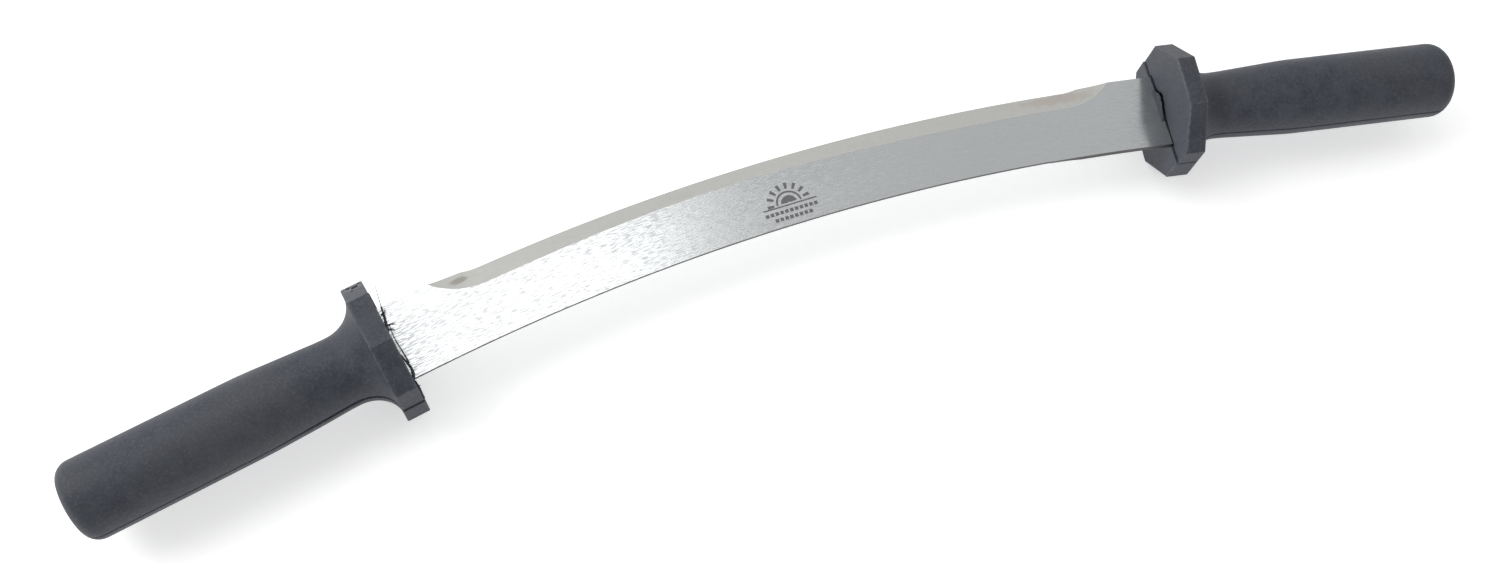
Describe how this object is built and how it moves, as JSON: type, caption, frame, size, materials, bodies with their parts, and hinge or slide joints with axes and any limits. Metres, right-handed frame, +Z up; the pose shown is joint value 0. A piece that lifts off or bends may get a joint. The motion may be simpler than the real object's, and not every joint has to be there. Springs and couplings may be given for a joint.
{
  "type": "two-handled fleshing knife",
  "caption": "Two-handled draw knife: a flat steel blade bowed in its own plane, bevelled along the bowed-out edge, with a round plastic handle and eight-sided guard at each end.",
  "frame": {"origin": "centre of the base of the bounding box, under the middle of the blade", "axes": "+X along the knife's length, +Y across it towards the bowed-out sharp edge, +Z up, square to the blade's flat face"},
  "size_m": [0.5526, 0.0662, 0.0501],
  "materials": {
    "blade_steel": "bright steel, finely brushed along the blade, with a ground bevel",
    "handle_plastic": "matt charcoal moulded plastic, lightly scuffed on its edges",
    "pin_steel": "plain drawn steel"
  },
  "bodies": {
    "root": {"blade": "blade_steel", "left_handle_upper_shell": "handle_plastic", "left_handle_lower_shell": "handle_plastic", "left_tang_pin_inner": "pin_steel", "left_tang_pin_outer": "pin_steel", "right_handle_upper_shell": "handle_plastic", "right_handle_lower_shell": "handle_plastic", "right_tang_pin_inner": "pin_steel", "right_tang_pin_outer": "pin_steel"}
  },
  "joints": []
}
